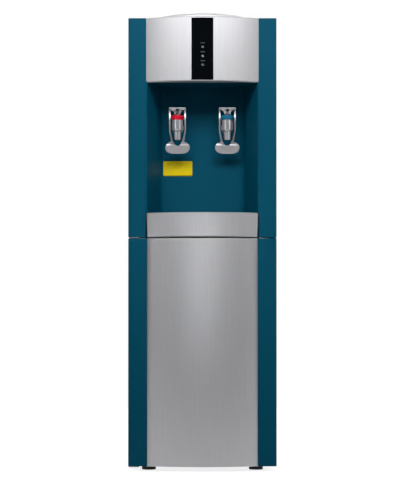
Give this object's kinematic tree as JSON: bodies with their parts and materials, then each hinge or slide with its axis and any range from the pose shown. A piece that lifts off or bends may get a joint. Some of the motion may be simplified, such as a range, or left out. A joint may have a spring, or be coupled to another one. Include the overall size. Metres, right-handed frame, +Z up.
{
  "type": "water cooler",
  "caption": "Floor-standing bottled-water cooler with push-lever taps in a niche, a pull-out drip tray, a bowed hinged cabinet door and a rear condenser.",
  "frame": {"origin": "on the floor under the middle of the overall box", "axes": "+Z up, -Y out of the front, +X to the right seen from the front"},
  "size_m": [0.31, 0.33, 0.965],
  "materials": {
    "teal_plastic": "satin",
    "teal_steel": "satin",
    "silver_plastic": "satin, fine vertical brushing",
    "window_black": "gloss",
    "lens": "gloss",
    "white_plastic": "satin",
    "white_wire": "satin",
    "chrome_plastic": "polished",
    "red_plastic": "gloss",
    "blue_plastic": "gloss",
    "stem_steel": "turned",
    "zinc_steel": "zinc plated",
    "stainless": "spun",
    "foam": "foamed",
    "copper": "drawn",
    "silicone": "translucent",
    "board": "satin",
    "black_paint": "satin",
    "black_plastic": "satin",
    "rubber": "matte",
    "rocker_red": "gloss",
    "rocker_green": "gloss"
  },
  "bodies": {
    "root": {"base_pan": "zinc_steel", "feet": "rubber", "left_side_panel": "teal_steel", "right_side_panel": "teal_steel", "back_panel": "zinc_steel", "top_cover": "white_plastic", "bottle_seat": "white_plastic", "upper_front": "teal_plastic", "tap_niche": "teal_plastic", "control_fascia": "silver_plastic", "indicator_window": "window_black", "indicator_lenses": "lens", "control_board": "board", "partition_shelf": "zinc_steel", "tank_shelf": "zinc_steel", "cabinet_liner": "white_plastic", "cabinet_shelf": "white_wire", "hinge_brackets": "zinc_steel", "cold_tank": "stainless", "tank_insulation": "foam", "evaporator_coil": "copper", "hot_tank": "stainless", "hot_tank_stand": "zinc_steel", "water_hoses": "silicone", "drain_cap": "white_plastic", "compressor": "black_paint", "compressor_grommets": "rubber", "condenser_tube": "black_paint", "condenser_wires": "black_paint", "condenser_clips": "black_plastic", "filter_drier": "copper", "suction_line": "copper", "switch_housings": "black_plastic", "thermostat": "zinc_steel", "power_inlet": "black_plastic", "panel_screws": "zinc_steel", "tap_nuts": "zinc_steel", "hot_tap_body": "chrome_plastic", "hot_tap_ring": "red_plastic", "cold_tap_body": "chrome_plastic", "cold_tap_ring": "blue_plastic"},
    "door": {"door_frame": "teal_plastic", "door_panel": "silver_plastic", "door_liner": "white_plastic", "door_gasket": "rubber"},
    "drip_tray_drawer": {"drip_tray": "black_plastic", "tray_front": "silver_plastic", "drip_grille": "black_plastic"},
    "hot_stem": {"hot_tap_stem": "stem_steel", "hot_tap_spring": "stem_steel"},
    "hot_lever": {"hot_tap_lever": "chrome_plastic", "hot_tap_pin": "stem_steel"},
    "cold_stem": {"cold_tap_stem": "stem_steel", "cold_tap_spring": "stem_steel"},
    "cold_lever": {"cold_tap_lever": "chrome_plastic", "cold_tap_pin": "stem_steel"},
    "hot_rocker": {"hot_switch": "rocker_red"},
    "cold_rocker": {"cold_switch": "rocker_green"},
    "thermostat_dial": {"thermostat_knob": "black_plastic"}
  },
  "joints": [
    {"name": "door_hinge", "type": "hinge", "parent": "root", "child": "door", "pos_m": [-0.147, -0.126, 0.01], "axis": [0, 0, -1], "range_deg": [0, 110]},
    {"name": "tray_slide", "type": "slide", "parent": "root", "child": "drip_tray_drawer", "axis": [0, -1, 0], "range_m": [0, 0.085]},
    {"name": "hot_stem_slide", "type": "slide", "parent": "root", "child": "hot_stem", "axis": [0, 0, 1], "range_m": [0, 0.0021], "stiffness_N_per_m": 500, "springref_m": -0.003, "deforming": ["hot_tap_spring"]},
    {"name": "hot_lever_tilt", "type": "hinge", "parent": "hot_stem", "child": "hot_lever", "pos_m": [-0.0528, -0.091, 0.755], "axis": [1, 0, 0], "range_deg": [0, 20]},
    {"name": "cold_stem_slide", "type": "slide", "parent": "root", "child": "cold_stem", "axis": [0, 0, 1], "range_m": [0, 0.0021], "stiffness_N_per_m": 500, "springref_m": -0.003, "deforming": ["cold_tap_spring"]},
    {"name": "cold_lever_tilt", "type": "hinge", "parent": "cold_stem", "child": "cold_lever", "pos_m": [0.0528, -0.091, 0.755], "axis": [1, 0, 0], "range_deg": [0, 20]},
    {"name": "hot_switch_rock", "type": "hinge", "parent": "root", "child": "hot_rocker", "pos_m": [-0.104, 0.132, 0.88], "axis": [-1, 0, 0], "range_deg": [0, 20]},
    {"name": "cold_switch_rock", "type": "hinge", "parent": "root", "child": "cold_rocker", "pos_m": [-0.072, 0.132, 0.88], "axis": [-1, 0, 0], "range_deg": [0, 20]},
    {"name": "thermostat_turn", "type": "hinge", "parent": "root", "child": "thermostat_dial", "pos_m": [0.104, 0.135, 0.88], "axis": [0, 1, 0], "range_deg": [0, 270]}
  ],
  "couplings": [
    {"joint": "hot_stem_slide", "follows": "hot_lever_tilt", "m_per_rad": 0.0059696},
    {"joint": "cold_stem_slide", "follows": "cold_lever_tilt", "m_per_rad": 0.0059696}
  ]
}
